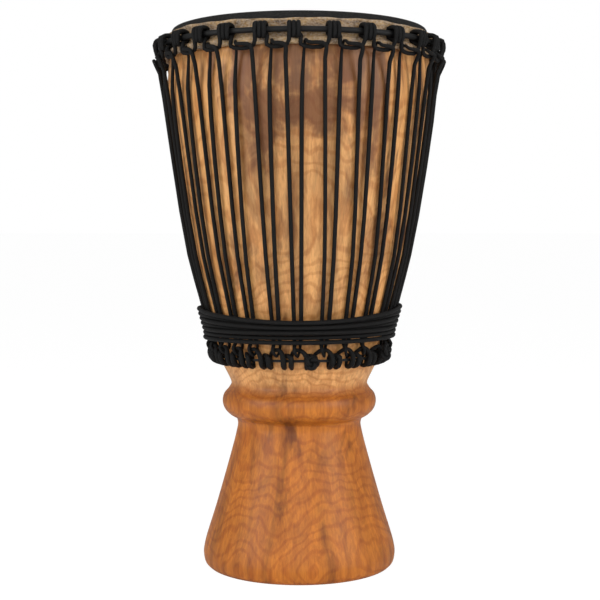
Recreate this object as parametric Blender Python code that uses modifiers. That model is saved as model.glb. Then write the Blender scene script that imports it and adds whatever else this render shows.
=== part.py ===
"""Bougarabou: a single-headed goblet drum with a laced hide head.

The drum stands on its foot at the origin, with +Z up, and its photographed side faces -Y.
Angles round the drum are in degrees from that front, positive towards +X.
All lengths are in metres.
"""

import math

import bpy
from mathutils import Vector

COLLECTION_NAME = "bougarabou"

# Overall sizes
TOTAL_HEIGHT = 0.600
HIDE_THICKNESS = 0.0014
CLEARANCE = 0.0003
TURNING_STEPS = 36

# Shell: outer wall stations, radius and height, from the bearing edge down to the waist
SHELL_TOP = TOTAL_HEIGHT - HIDE_THICKNESS - CLEARANCE
BEARING_EDGE_RADIUS = 0.1366
BEARING_EDGE_ROUND = 0.0047
BOWL_WALL = [
    (0.1433, 0.575),
    (0.1462, 0.549),
    (0.1477, 0.526),
    (0.1390, 0.465),
    (0.1204, 0.352),
    (0.1079, 0.300),
    (0.0954, 0.258),
    (0.0884, 0.232),
    (0.0767, 0.205),
]
WAIST_BEAD = [
    (0.0802, 0.1990),
    (0.0850, 0.1933),
    (0.0868, 0.1855),
    (0.0846, 0.1770),
    (0.0788, 0.1706),
    (0.0708, 0.1652),
]
FOOT_WALL = [
    (0.0695, 0.1600),
    (0.0718, 0.1470),
    (0.0934, 0.0693),
    (0.1071, 0.0245),
    (0.1087, 0.0134),
    (0.1066, 0.0032),
    (0.1034, 0.0000),
]
# Shell: bore stations, from the foot's mouth up to the bearing edge
SHELL_BORE = [
    (0.0880, 0.000),
    (0.0470, 0.150),
    (0.0470, 0.195),
    (0.1085, 0.352),
    (0.1330, 0.505),
    (0.1315, 0.592),
]

# Flesh ring, and the fold of hide round it
FLESH_RING_RADIUS = 0.1484
FLESH_RING_HEIGHT = 0.5689
FLESH_RING_WIRE = 0.0021
FOLD_RADIUS = 0.0034
FLAP_RADIUS = 0.1463
FLAP_BEND_RADIUS = 0.0021
FLAP_FLARE_HEIGHT = 0.5865
FLAP_EDGE_RADIUS = 0.1486
FLAP_EDGE_HEIGHT = 0.5910

# Crown ring and bottom ring
CROWN_RING_RADIUS = 0.1540
CROWN_RING_HEIGHT = 0.5788
CROWN_RING_WIRE = 0.0030
BOTTOM_RING_RADIUS = 0.0954
BOTTOM_RING_HEIGHT = 0.2385
BOTTOM_RING_WIRE = 0.0016

# Rope, with the narrower radii that it is pulled down to in the hitches and hooks
ROPE_RADIUS = 0.0022
HITCH_ROPE_RADIUS = 0.00205
HOOK_ROPE_RADIUS = 0.0015
LOOP_ROPE_RADIUS = 0.0018
SIDE_ROPE_RADIUS = 0.00178
TIGHT_ROPE_RADIUS = 0.0014

# Loops round the drum, which a hand has spaced a little unevenly
LOOP_COUNT = 27
LOOP_PITCH = 360.0 / LOOP_COUNT
FIRST_LOOP_ANGLE = -0.8
SLOW_DRIFT = (0.95, 40.0, -43.0)
QUICK_DRIFT = (0.57, 146.67, -121.0)
LEAN_MEAN = 1.8
LEAN_SWING = 3.4
STRAND_SPREAD_TOP = 3.1
STRAND_SPREAD_BOTTOM = 1.9
STRAND_RUN = [(0.1008, 0.264), (0.1240, 0.350)]

# Tail winding
WINDING_TURNS = 7
WINDING_POINTS_PER_TURN = 24
WINDING_LOW = 0.2590
WINDING_PITCH = 0.0053
FRONT_TURN_HEIGHTS = [0.2589, 0.2643, 0.2697, 0.2724, 0.2751, 0.2778, 0.2805]
FRONT_TURN_LIFT = [0.0, 0.0, 1.0, 0.0, 1.0, 0.0, 1.0]
WINDING_STAND_OFF = 0.0056
LEAST_WINDING_RADIUS = 0.1063
LEAST_WINDING_GAP = 0.0004
EXTRA_WINDING_ROOM = 0.00008
SMALL_LIFT = 0.00065

# Stopper knots
KNOT_ROPE_RADIUS = 0.0020
KNOT_RING_RADIUS = 0.0048
KNOT_TUBE_RADIUS = 0.00225
KNOT_POINTS = 16
TAIL_KNOT_LOOP = 4
TAIL_KNOT_RADIUS = 0.1100
TAIL_KNOT_HEIGHT = 0.2442
LOOP_KNOT_RADIUS = 0.1082
LOOP_KNOT_HEIGHT = 0.2378


def clear_scene():
    """Remove every object, so that the drum stands alone."""
    for item in list(bpy.data.objects):
        bpy.data.objects.remove(item, do_unlink=True)


def make_collection(name):
    """Make the collection that holds the drum's pieces."""
    collection = bpy.data.collections.new(name)
    bpy.context.scene.collection.children.link(collection)
    return collection


def make_material(name, color, roughness, metallic=0.0):
    """Make a plain Principled material."""
    material = bpy.data.materials.new(name)
    material.use_nodes = True
    shader = material.node_tree.nodes["Principled BSDF"]
    shader.inputs["Base Color"].default_value = (*color, 1.0)
    shader.inputs["Roughness"].default_value = roughness
    shader.inputs["Metallic"].default_value = metallic
    material.diffuse_color = (*color, 1.0)
    return material


def on_drum(angle, radius, height):
    """Point at an angle round the drum, from its front."""
    turn = math.radians(angle)
    return Vector((radius * math.sin(turn), -radius * math.cos(turn), height))


def arc_points(centre, radius, start, end, count):
    """Points on an arc in the radius and height plane, from one angle to another in degrees."""
    points = []
    for index in range(count):
        turn = math.radians(start + (end - start) * index / (count - 1))
        points.append((centre[0] + radius * math.cos(turn), centre[1] + radius * math.sin(turn)))
    return points


def turned_piece(collection, name, profile, closed, material):
    """Turn a profile of radius and height pairs about Z into a solid."""
    mesh = bpy.data.meshes.new(name)
    edges = [(index, index + 1) for index in range(len(profile) - 1)]
    if closed:
        edges.append((len(profile) - 1, 0))
    mesh.from_pydata([(radius, 0.0, height) for radius, height in profile], edges, [])
    piece = bpy.data.objects.new(name, mesh)
    collection.objects.link(piece)
    screw = piece.modifiers.new("turning", "SCREW")
    screw.axis = "Z"
    screw.angle = math.radians(360.0)
    screw.steps = TURNING_STEPS
    screw.render_steps = TURNING_STEPS
    screw.use_merge_vertices = True
    screw.merge_threshold = 0.00001
    mesh.materials.append(material)
    return piece


def wire_ring(collection, name, radius, height, wire, segments, material):
    """A round wire bent into a ring about Z."""
    bpy.ops.mesh.primitive_torus_add(
        major_radius=radius,
        minor_radius=wire,
        major_segments=segments,
        minor_segments=6,
        location=(0.0, 0.0, height),
    )
    piece = bpy.context.active_object
    piece.name = name
    piece.data.name = name
    for owner in list(piece.users_collection):
        owner.objects.unlink(piece)
    collection.objects.link(piece)
    piece.data.shade_smooth()
    piece.data.materials.append(material)
    return piece


def rope_piece(collection, name, route, closed, material):
    """A rope as one tube along a route of points, each with the rope's radius there."""
    curve = bpy.data.curves.new(name, "CURVE")
    curve.dimensions = "3D"
    curve.bevel_depth = ROPE_RADIUS
    curve.bevel_resolution = 1
    curve.use_fill_caps = not closed
    spline = curve.splines.new("POLY")
    spline.points.add(len(route) - 1)
    for point, (place, rope_radius) in zip(spline.points, route):
        point.co = (*place, 1.0)
        point.radius = rope_radius / ROPE_RADIUS
    spline.use_cyclic_u = closed
    curve.materials.append(material)
    piece = bpy.data.objects.new(name, curve)
    collection.objects.link(piece)
    return piece


def drift(loop):
    """Uneven hand spacing of a loop, in degrees."""
    total = 0.0
    for swing, step, phase in (SLOW_DRIFT, QUICK_DRIFT):
        total += swing * math.sin(math.radians(step * loop + phase))
    return total


def top_angle(loop):
    """Angle of a hitch on the crown ring."""
    return FIRST_LOOP_ANGLE + LOOP_PITCH * loop + drift(loop)


def foot_angle(loop):
    """Angle of the pair of strands under a hitch, where it meets the bottom loops."""
    top = top_angle(loop)
    return top + LEAN_MEAN + LEAN_SWING * math.sin(math.radians(top)) + 0.6 * drift(loop)


def hitch_angle(loop):
    """Angle of a hitch on the bottom ring, midway between two pairs of strands."""
    return 0.5 * (foot_angle(loop) + foot_angle(loop + 1))


def shell_profile():
    """Section through the wooden shell, down its outside and up its bore."""
    centre = (BEARING_EDGE_RADIUS, SHELL_TOP - BEARING_EDGE_ROUND)
    bearing_edge = arc_points(centre, BEARING_EDGE_ROUND, 90.0, 0.0, 3)
    return bearing_edge + BOWL_WALL + WAIST_BEAD + FOOT_WALL + SHELL_BORE


def hide_mid_line():
    """Line through the middle of the hide, from the drum's axis to its trimmed edge."""
    half = 0.5 * HIDE_THICKNESS
    edge_centre = (BEARING_EDGE_RADIUS, SHELL_TOP - BEARING_EDGE_ROUND)
    over_edge = arc_points(edge_centre, BEARING_EDGE_ROUND + CLEARANCE + half, 90.0, 0.0, 3)
    fold_centre = (FLESH_RING_RADIUS, FLESH_RING_HEIGHT)
    fold = arc_points(fold_centre, FOLD_RADIUS, 180.0, 450.0, 8)
    bend_centre = (FLAP_RADIUS + FLAP_BEND_RADIUS, FLESH_RING_HEIGHT + FOLD_RADIUS + FLAP_BEND_RADIUS)
    flap = arc_points(bend_centre, FLAP_BEND_RADIUS, 225.0, 180.0, 2)
    flap += [(FLAP_RADIUS, FLAP_FLARE_HEIGHT), (FLAP_EDGE_RADIUS, FLAP_EDGE_HEIGHT)]
    return [(0.0, TOTAL_HEIGHT - half)] + over_edge + fold + flap


def offset_line(line, distance):
    """A line moved sideways by a distance, to the left of its direction."""
    moved = []
    for index, (radius, height) in enumerate(line):
        before = line[max(index - 1, 0)]
        after = line[min(index + 1, len(line) - 1)]
        incoming = Vector((radius - before[0], height - before[1]))
        outgoing = Vector((after[0] - radius, after[1] - height))
        if incoming.length == 0.0:
            incoming = outgoing
        if outgoing.length == 0.0:
            outgoing = incoming
        tangent = (incoming.normalized() + outgoing.normalized()).normalized()
        spread = 1.0 / max(tangent.dot(outgoing.normalized()), 0.5)
        side = Vector((-tangent.y, tangent.x)) * distance * spread
        moved.append((max(radius + side.x, 0.0), height + side.y))
    return moved


def hide_profile():
    """Section through the hide, along its outer face and back along its inner face."""
    mid_line = hide_mid_line()
    half = 0.5 * HIDE_THICKNESS
    outer = offset_line(mid_line, half)
    inner = offset_line(mid_line, -half)
    outer[0] = (0.0, TOTAL_HEIGHT)
    inner[0] = (0.0, TOTAL_HEIGHT - HIDE_THICKNESS)
    return outer + inner[::-1]


def beside(angle, distance, radius):
    """Angle of a point that lies a distance along the ring from an angle."""
    return angle + math.degrees(distance / radius)


def crown_loop_route():
    """Route of the rope that is hitched round the crown ring and hangs in loops between.

    Each hitch has three wraps. A wrap runs up the front of the ring, over it, down behind it and
    back under it to the next one.
    """
    first_corner = (0.0061, 0.0050, HITCH_ROPE_RADIUS)
    way_out = (0.0015, -0.0063, SIDE_ROPE_RADIUS)
    way_out_place = 0.0068
    corners = [
        (0.0056, -0.0070, SIDE_ROPE_RADIUS),
        (0.0056, 0.0050, HITCH_ROPE_RADIUS),
        (-0.0049, 0.0056, SIDE_ROPE_RADIUS),
        (-0.0049, -0.0034, SIDE_ROPE_RADIUS),
    ]
    wrap_places = [-0.0044, 0.0, 0.0044]
    loop_corner = 2.5
    loop_radius = 0.1568
    loop_height = 0.5634
    route = []
    for loop in range(LOOP_COUNT):
        angle = top_angle(loop)
        route.append((on_drum(angle - loop_corner, loop_radius, loop_height), LOOP_ROPE_RADIUS))
        stops = [(wrap_places[0], first_corner)]
        stops += [(wrap_places[0], corner) for corner in corners[2:]]
        stops += [(place, corner) for place in wrap_places[1:] for corner in corners]
        stops.append((way_out_place, way_out))
        for place, (out, up, rope_radius) in stops:
            spot = beside(angle, place, CROWN_RING_RADIUS)
            point = on_drum(spot, CROWN_RING_RADIUS + out, CROWN_RING_HEIGHT + up)
            route.append((point, rope_radius))
        route.append((on_drum(angle + loop_corner, loop_radius, loop_height), LOOP_ROPE_RADIUS))
    return route


def bottom_loop_route():
    """Route of the rope that is hitched round the bottom ring and rises in loops between."""
    corners = [
        (0.1010, 0.2420, HITCH_ROPE_RADIUS),
        (0.0979, 0.2334, HITCH_ROPE_RADIUS),
        (0.0898, 0.2304, TIGHT_ROPE_RADIUS),
        (0.0933, 0.2438, TIGHT_ROPE_RADIUS),
    ]
    wrap_places = [-0.0040, 0.0040]
    loop_corner = 1.6
    loop_radius = 0.0996
    loop_height = 0.2502
    route = []
    for loop in range(LOOP_COUNT):
        pair = foot_angle(loop)
        route.append((on_drum(pair + loop_corner, loop_radius, loop_height), HOOK_ROPE_RADIUS))
        for place in wrap_places:
            spot = beside(hitch_angle(loop), place, BOTTOM_RING_RADIUS)
            for radius, height, rope_radius in corners:
                route.append((on_drum(spot, radius, height), rope_radius))
        next_pair = foot_angle(loop + 1)
        route.append((on_drum(next_pair - loop_corner, loop_radius, loop_height), HOOK_ROPE_RADIUS))
    return route


def strand_radius(height):
    """Radius of an upright strand's middle, along its straight run over the lower bowl."""
    (low_radius, low_height), (high_radius, high_height) = STRAND_RUN
    share = (height - low_height) / (high_height - low_height)
    return low_radius + share * (high_radius - low_radius)


def strand_point(loop, side, height):
    """Point of an upright strand. side is -1 or 1, for left or right of the pair's middle."""
    top_height, bottom_height = 0.550, 0.256
    share = (height - bottom_height) / (top_height - bottom_height)
    middle = foot_angle(loop) + share * (top_angle(loop) - foot_angle(loop))
    spread = STRAND_SPREAD_BOTTOM + share * (STRAND_SPREAD_TOP - STRAND_SPREAD_BOTTOM)
    return (on_drum(middle + side * spread, strand_radius(height), height), ROPE_RADIUS)


def crown_hook(loop):
    """The lacing rises behind one crown loop, turns over its run and drops in front of it."""
    left = top_angle(loop)
    right = top_angle(loop + 1)
    return [
        (on_drum(left + 3.1, 0.1512, 0.5260), ROPE_RADIUS),
        (on_drum(left + 3.9, 0.1519, 0.5622), HOOK_ROPE_RADIUS),
        (on_drum(left + 4.3, 0.1556, 0.5681), HOOK_ROPE_RADIUS),
        (on_drum(left + 5.2, 0.1606, 0.5649), LOOP_ROPE_RADIUS),
        (on_drum(right - 3.3, 0.1612, 0.5626), ROPE_RADIUS),
        (on_drum(right - 3.1, 0.1554, 0.5495), ROPE_RADIUS),
    ]


def foot_hook(loop):
    """The lacing drops in front of one bottom loop, turns under its run and rises behind it."""
    pair = foot_angle(loop)
    return [
        (on_drum(pair - 1.9, 0.1003, 0.2560), ROPE_RADIUS),
        (on_drum(pair - 1.9, 0.1038, 0.2502), LOOP_ROPE_RADIUS),
        (on_drum(pair - 0.1, 0.1000, 0.2438), HOOK_ROPE_RADIUS),
        (on_drum(pair + 1.3, 0.0953, 0.2506), TIGHT_ROPE_RADIUS),
    ]


def lacing_route():
    """Route of the one rope that zigzags between the crown loops and the bottom loops."""
    low, high = STRAND_RUN[0][1], STRAND_RUN[1][1]
    route = []
    for step in range(LOOP_COUNT):
        loop = TAIL_KNOT_LOOP + step
        route += [strand_point(loop, 1, low), strand_point(loop, 1, high)]
        route += crown_hook(loop)
        route += [strand_point(loop + 1, -1, high), strand_point(loop + 1, -1, low)]
        if step < LOOP_COUNT - 1:
            route += foot_hook(loop + 1)
    return route


def blend_list(values, place):
    """Value between the entries of a list, held at its ends."""
    place = min(max(place, 0.0), len(values) - 1.0)
    low = min(int(place), len(values) - 2)
    return values[low] + (place - low) * (values[low + 1] - values[low])


def winding_point(turns):
    """Point of the tail winding after a number of turns, which starts at the back.

    The turns lie side by side at the back and sides. At the front they are squeezed together,
    and two of them lie under their neighbours, which then stand further out.
    """
    angle = 360.0 * turns - 180.0
    around = math.radians(angle)
    squeeze = max(math.cos(around), 0.0) ** 2
    place = turns - 0.5
    side_height = WINDING_LOW + WINDING_PITCH * place
    front_height = blend_list(FRONT_TURN_HEIGHTS, place)
    height = side_height + squeeze * (front_height - side_height)
    nearest = FRONT_TURN_HEIGHTS[3] - FRONT_TURN_HEIGHTS[2]
    spacing = WINDING_PITCH + squeeze * (nearest - WINDING_PITCH)
    room = 2.0 * ROPE_RADIUS + LEAST_WINDING_GAP + EXTRA_WINDING_ROOM
    lift = math.sqrt(max(room ** 2 - spacing ** 2, 0.0))
    slope = strand_radius(height + spacing) - strand_radius(height)
    lift += slope * min(lift / SMALL_LIFT, 1.0)
    lift *= FRONT_TURN_LIFT[round(place) % WINDING_TURNS]
    radius = max(strand_radius(height) + WINDING_STAND_OFF, LEAST_WINDING_RADIUS)
    return on_drum(angle, radius + lift, height)


def winding_route():
    """Route of the tail winding, from its lowest turn to its highest."""
    count = WINDING_TURNS * WINDING_POINTS_PER_TURN
    places = [winding_point(index / WINDING_POINTS_PER_TURN) for index in range(count + 1)]
    return [(place, ROPE_RADIUS) for place in places]


def least_winding_gap(route):
    """Least gap between neighbouring turns, measured on points along the route."""
    samples = []
    for (start, _), (end, _) in zip(route, route[1:]):
        samples += [start.lerp(end, part / 6.0) for part in range(6)]
    per_turn = WINDING_POINTS_PER_TURN * 6
    least = math.inf
    for index, place in enumerate(samples):
        for other in samples[index + per_turn // 2:]:
            least = min(least, (place - other).length)
    return least - 2.0 * ROPE_RADIUS


def knot_route(angle, radius, height, scale):
    """A trefoil round a short axis that points out of the drum."""
    outward = on_drum(angle, 1.0, 0.0)
    across = Vector((-outward.y, outward.x, 0.0))
    upward = Vector((0.0, 0.0, 1.0))
    centre = on_drum(angle, radius, height)
    route = []
    for index in range(KNOT_POINTS):
        turn = 2.0 * math.pi * index / KNOT_POINTS
        reach = scale * (KNOT_RING_RADIUS + KNOT_TUBE_RADIUS * math.cos(3.0 * turn))
        depth = scale * KNOT_TUBE_RADIUS * math.sin(3.0 * turn)
        flat = across * reach * math.cos(2.0 * turn) + upward * reach * math.sin(2.0 * turn)
        route.append((centre + flat + outward * depth, scale * KNOT_ROPE_RADIUS))
    return route


def build_shell(collection):
    wood = make_material("carved_wood", (0.62, 0.33, 0.12), 0.45)
    turned_piece(collection, "shell", shell_profile(), True, wood)


def build_head(collection):
    hide = make_material("hide", (0.03, 0.028, 0.026), 0.7)
    turned_piece(collection, "drum_skin", hide_profile(), False, hide)


def build_rings(collection):
    bare_steel = make_material("bare_steel", (0.35, 0.34, 0.33), 0.4, 1.0)
    black_steel = make_material("black_steel", (0.02, 0.02, 0.02), 0.5)
    dark_steel = make_material("dark_steel", (0.05, 0.05, 0.05), 0.5, 0.6)
    flesh_section = arc_points((FLESH_RING_RADIUS, FLESH_RING_HEIGHT), FLESH_RING_WIRE, 300.0, 0.0, 6)
    turned_piece(collection, "flesh_ring", flesh_section, True, bare_steel)
    for name, radius, height, wire, segments, material in (
        ("crown_ring", CROWN_RING_RADIUS, CROWN_RING_HEIGHT, CROWN_RING_WIRE, 54, black_steel),
        ("bottom_ring", BOTTOM_RING_RADIUS, BOTTOM_RING_HEIGHT, BOTTOM_RING_WIRE, 48, dark_steel),
    ):
        wire_ring(collection, name, radius, height, wire, segments, material)


def build_ropes(collection):
    tail_knot = knot_route(foot_angle(TAIL_KNOT_LOOP), TAIL_KNOT_RADIUS, TAIL_KNOT_HEIGHT, 1.0)
    loop_knot = knot_route(hitch_angle(0), LOOP_KNOT_RADIUS, LOOP_KNOT_HEIGHT, 0.9)
    for name, route, closed in (
        ("crown_loop_rope", crown_loop_route(), True),
        ("bottom_loop_rope", bottom_loop_route(), True),
        ("lacing_rope", lacing_route(), False),
        ("tail_winding", winding_route(), False),
        ("tail_end_knot", tail_knot, True),
        ("loop_rope_knot", loop_knot, True),
    ):
        cord = make_material(name + "_cord", (0.02, 0.02, 0.022), 0.75)
        rope_piece(collection, name, route, closed, cord)
    gap = least_winding_gap(winding_route())
    print("least gap of the tail winding to itself, mm:", round(1000.0 * gap, 2))


def main():
    clear_scene()
    collection = make_collection(COLLECTION_NAME)
    build_shell(collection)
    build_head(collection)
    build_rings(collection)
    build_ropes(collection)


main()
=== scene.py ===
"""Looks of the bougarabou: carved wood, black hide and braided rope, with a studio stage."""

import math

import bpy
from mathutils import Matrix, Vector


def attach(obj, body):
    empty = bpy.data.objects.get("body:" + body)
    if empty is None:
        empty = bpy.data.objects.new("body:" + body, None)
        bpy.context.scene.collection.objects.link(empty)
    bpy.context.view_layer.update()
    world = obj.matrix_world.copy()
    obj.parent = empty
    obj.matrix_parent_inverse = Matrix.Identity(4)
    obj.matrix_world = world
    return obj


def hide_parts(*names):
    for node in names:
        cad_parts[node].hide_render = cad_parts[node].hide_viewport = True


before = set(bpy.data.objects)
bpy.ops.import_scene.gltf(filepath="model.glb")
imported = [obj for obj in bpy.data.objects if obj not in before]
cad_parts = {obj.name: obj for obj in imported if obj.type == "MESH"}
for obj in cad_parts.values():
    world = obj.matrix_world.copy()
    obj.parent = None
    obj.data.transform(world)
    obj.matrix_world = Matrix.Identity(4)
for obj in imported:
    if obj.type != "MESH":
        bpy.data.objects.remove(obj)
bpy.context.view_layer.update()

bl_info = {
    "name": "Bougarabou",
    "version": (1, 0, 0),
    "blender": (4, 5, 0),
    "location": "View3D > Sidebar > Bougarabou",
    "description": "Models a single-headed goblet drum with a laced hide head",
    "category": "Add Mesh",
}

# Camera: the photo's, with a small pitch in place of its shift, which would cut off other views
CAMERA_PLACE = (0.0008, -1.470, 0.3774)
CAMERA_LENS = 78.1
CAMERA_SENSOR = 36.0
CAMERA_PITCH = 3.075

# Stage. A softbox has a name, a place, the height on the axis that it is aimed at, a size and a power
WHITE = (1.0, 1.0, 1.0, 1.0)
FLOOR_SIZE = 300.0
FLOOR_COLOR = (0.86, 0.86, 0.86, 1.0)
FLOOR_ROUGHNESS = 0.9
FLOOR_GLOW = 1.14
FLOOR_GLOW_SHARE = 0.82
WORLD_LIGHT = 0.34
SOFTBOXES = [
    ("left_softbox", (-1.5, -1.0, 0.9), 0.35, (0.9, 1.3), 15.0),
    ("right_softbox", (1.5, -1.0, 0.9), 0.35, (0.9, 1.3), 15.0),
    ("front_softbox", (0.0, -2.4, 1.0), 0.35, (1.2, 0.8), 13.0),
    ("top_softbox", (0.0, -0.4, 2.2), 0.40, (1.4, 1.4), 6.0),
]

# Overall sizes
TOTAL_HEIGHT = 0.600
HIDE_THICKNESS = 0.0014
CLEARANCE = 0.0003

# Shell: outer wall stations, radius and height, from the bearing edge down to the waist
SHELL_TOP = TOTAL_HEIGHT - HIDE_THICKNESS - CLEARANCE
BEARING_EDGE_RADIUS = 0.1366
BEARING_EDGE_ROUND = 0.0047
BOWL_WALL = [
    (0.1433, 0.575),
    (0.1462, 0.549),
    (0.1477, 0.526),
    (0.1390, 0.465),
    (0.1204, 0.352),
    (0.1079, 0.300),
    (0.0954, 0.258),
    (0.0884, 0.232),
    (0.0767, 0.205),
]
WAIST_BEAD = [
    (0.0802, 0.1990),
    (0.0850, 0.1933),
    (0.0868, 0.1855),
    (0.0846, 0.1770),
    (0.0788, 0.1706),
    (0.0708, 0.1652),
]
FOOT_WALL = [
    (0.0695, 0.1600),
    (0.0718, 0.1470),
    (0.0934, 0.0693),
    (0.1071, 0.0245),
    (0.1087, 0.0134),
    (0.1066, 0.0032),
    (0.1034, 0.0000),
]
# Shell: bore stations, from the foot's mouth up to the bearing edge
SHELL_BORE = [
    (0.0880, 0.000),
    (0.0470, 0.150),
    (0.0470, 0.195),
    (0.1085, 0.352),
    (0.1330, 0.505),
    (0.1315, 0.592),
]

# Flesh ring, and the fold of hide round it
FLESH_RING_RADIUS = 0.1484
FLESH_RING_HEIGHT = 0.5689
FOLD_RADIUS = 0.0034
FLAP_RADIUS = 0.1463
FLAP_BEND_RADIUS = 0.0021
FLAP_FLARE_HEIGHT = 0.5865
FLAP_EDGE_RADIUS = 0.1486
FLAP_EDGE_HEIGHT = 0.5910

# Crown ring and bottom ring
CROWN_RING_RADIUS = 0.1540
CROWN_RING_HEIGHT = 0.5788
CROWN_RING_WIRE = 0.0030
BOTTOM_RING_RADIUS = 0.0954

# Rope, with the narrower radii that it is pulled down to in the hitches and hooks
ROPE_RADIUS = 0.0022
HITCH_ROPE_RADIUS = 0.00205
HOOK_ROPE_RADIUS = 0.0015
LOOP_ROPE_RADIUS = 0.0018
SIDE_ROPE_RADIUS = 0.00178
TIGHT_ROPE_RADIUS = 0.0014

# Loops round the drum, which a hand has spaced a little unevenly
LOOP_COUNT = 27
LOOP_PITCH = 360.0 / LOOP_COUNT
FIRST_LOOP_ANGLE = -0.8
SLOW_DRIFT = (0.95, 40.0, -43.0)
QUICK_DRIFT = (0.57, 146.67, -121.0)
LEAN_MEAN = 1.8
LEAN_SWING = 3.4
FOOT_DRIFT_SHARE = 0.6
STRAND_SPREAD_TOP = 3.1
STRAND_SPREAD_BOTTOM = 1.9
STRAND_RUN = [(0.1008, 0.264), (0.1240, 0.350)]

# Tail winding
WINDING_TURNS = 7
WINDING_POINTS_PER_TURN = 24
WINDING_LOW = 0.2590
WINDING_PITCH = 0.0053
FRONT_TURN_HEIGHTS = [0.2589, 0.2643, 0.2697, 0.2724, 0.2751, 0.2778, 0.2805]
FRONT_TURN_LIFT = [0.0, 0.0, 1.0, 0.0, 1.0, 0.0, 1.0]
WINDING_STAND_OFF = 0.0056
LEAST_WINDING_RADIUS = 0.1063
LEAST_WINDING_GAP = 0.0004
EXTRA_WINDING_ROOM = 0.00008
SMALL_LIFT = 0.00065

# Stopper knots
KNOT_ROPE_RADIUS = 0.0020
KNOT_RING_RADIUS = 0.0048
KNOT_TUBE_RADIUS = 0.00225
KNOT_POINTS = 16
TAIL_KNOT_LOOP = 4
TAIL_KNOT_RADIUS = 0.1100
TAIL_KNOT_HEIGHT = 0.2442
LOOP_KNOT_RADIUS = 0.1082
LOOP_KNOT_HEIGHT = 0.2378
LOOP_KNOT_SCALE = 0.9

# How much fuller than its solid each soft rope is drawn
CROWN_FULLNESS = 1.2
FOOT_FULLNESS = 1.45
LACING_FULLNESS = 1.0
WINDING_FULLNESS = 1.10
KNOT_FULLNESS = 1.2

# Fineness of the meshes: parts between two points of a line, and steps round a ring or a rope
ROPE_PARTS = 4
ROPE_SIDES = 10
SHELL_PARTS = 5
HIDE_PARTS = 3
CROWN_RING_STEPS = 216
CROWN_WIRE_SIDES = 16

# Reach of a smooth line's slope at a point, in lengths of the shorter span beside it
LONGEST_REACH = 1.5

# Wave in the hide's trimmed edge, as swing, waves round the drum and phase, and where it starts
TRIM_WAVES = [(0.5, 5.0, 0.7), (0.3, 13.0, 2.1), (0.25, 29.0, 4.0)]
TRIM_WAVE_START = FLESH_RING_HEIGHT + 0.006
TRIM_WAVE_ROOM = 0.002

# Turn of a noise that stands upright
UPRIGHT = (0.0, 0.0, 0.0)

# Wood finish. Colours and tints fade in between a first and a second height
GRAIN_LEAN = 16.0
BAND_SHARE = 0.55
BAND_TINTS = ((0.66, 0.52, 0.40), (1.06, 1.04, 1.0))
LINE_SHARE = 0.40
LINE_TINTS = ((0.60, 0.46, 0.36), (1.05, 1.03, 1.0))
GROWTH_RING_SPACING = 0.0042
GROWTH_RING_SWAY = 0.055
GROWTH_RING_RIPPLE = 0.0035
GROWTH_RING_SHARE = 0.62
GROWTH_RING_TINT = (0.74, 0.60, 0.46)
STAIN_SHARE = 0.80
STAIN_COLOR = (0.13, 0.038, 0.012)
STAIN_HEIGHTS = (0.36, 0.54)
STAIN_CLIMB = 0.16
STAIN_EDGE = (0.76, 0.90)
DRIP_SHARE = 0.35
FOOT_HEIGHTS = (0.214, 0.196)
# Painted shade: darker wood in the crease where the bowl meets the waist bead. Given as its share, its
# colour and the heights where the band fades in at its bottom and out at its top
WAIST_SHADE_SHARE = 0.22
WAIST_SHADE_COLOR = (0.16, 0.045, 0.014)
WAIST_SHADE_BOTTOM_HEIGHTS = (0.182, 0.192)
WAIST_SHADE_TOP_HEIGHTS = (0.212, 0.202)

# Rope and hide finishes
PLAIT_LENGTH = 0.0046
PLAITS_ROUND = 4.0
# Painted shade: the darker colour put in the grooves between the plaits
PLAIT_GROOVE_SHADE = (0.0015, 0.0015, 0.0015)
WORN_SPECK_COLOR = (0.07, 0.067, 0.062)
WORN_SPECK_SHARE = 0.35
HAIR_COLORS = ((0.003, 0.003, 0.003), (0.024, 0.022, 0.020))
SHAVED_COLOR = (0.050, 0.038, 0.030)
SHAVED_HEIGHTS = (0.5975, 0.5995)
FLESH_DARK_COLOR = (0.10, 0.055, 0.018)
FLESH_BROWN_COLOR = (0.30, 0.175, 0.062)
FIBRE_TINT = (0.55, 0.48, 0.42)
FIBRE_FADE = 0.55


def on_drum(angle, radius, height):
    """Point at an angle round the drum, from its front."""
    turn = math.radians(angle)
    return Vector((radius * math.sin(turn), -radius * math.cos(turn), height))


def arc_points(centre, radius, start, end, count):
    """Points on an arc in the radius and height plane, from one angle to another in degrees."""
    points = []
    for index in range(count):
        turn = math.radians(start + (end - start) * index / (count - 1))
        points.append((centre[0] + radius * math.cos(turn), centre[1] + radius * math.sin(turn)))
    return points


def drift(loop):
    """Uneven hand spacing of a loop, in degrees."""
    total = 0.0
    for swing, step, phase in (SLOW_DRIFT, QUICK_DRIFT):
        total += swing * math.sin(math.radians(step * loop + phase))
    return total


def top_angle(loop):
    """Angle of a hitch on the crown ring."""
    return FIRST_LOOP_ANGLE + LOOP_PITCH * loop + drift(loop)


def foot_angle(loop):
    """Angle of the pair of strands under a hitch, where it meets the bottom loops."""
    top = top_angle(loop)
    lean = LEAN_MEAN + LEAN_SWING * math.sin(math.radians(top))
    return top + lean + FOOT_DRIFT_SHARE * drift(loop)


def hitch_angle(loop):
    """Angle of a hitch on the bottom ring, midway between two pairs of strands."""
    return 0.5 * (foot_angle(loop) + foot_angle(loop + 1))


def shell_profile():
    """Section through the wooden shell, down its outside and up its bore."""
    centre = (BEARING_EDGE_RADIUS, SHELL_TOP - BEARING_EDGE_ROUND)
    bearing_edge = arc_points(centre, BEARING_EDGE_ROUND, 90.0, 0.0, 3)
    return bearing_edge + BOWL_WALL + WAIST_BEAD + FOOT_WALL + SHELL_BORE


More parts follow.
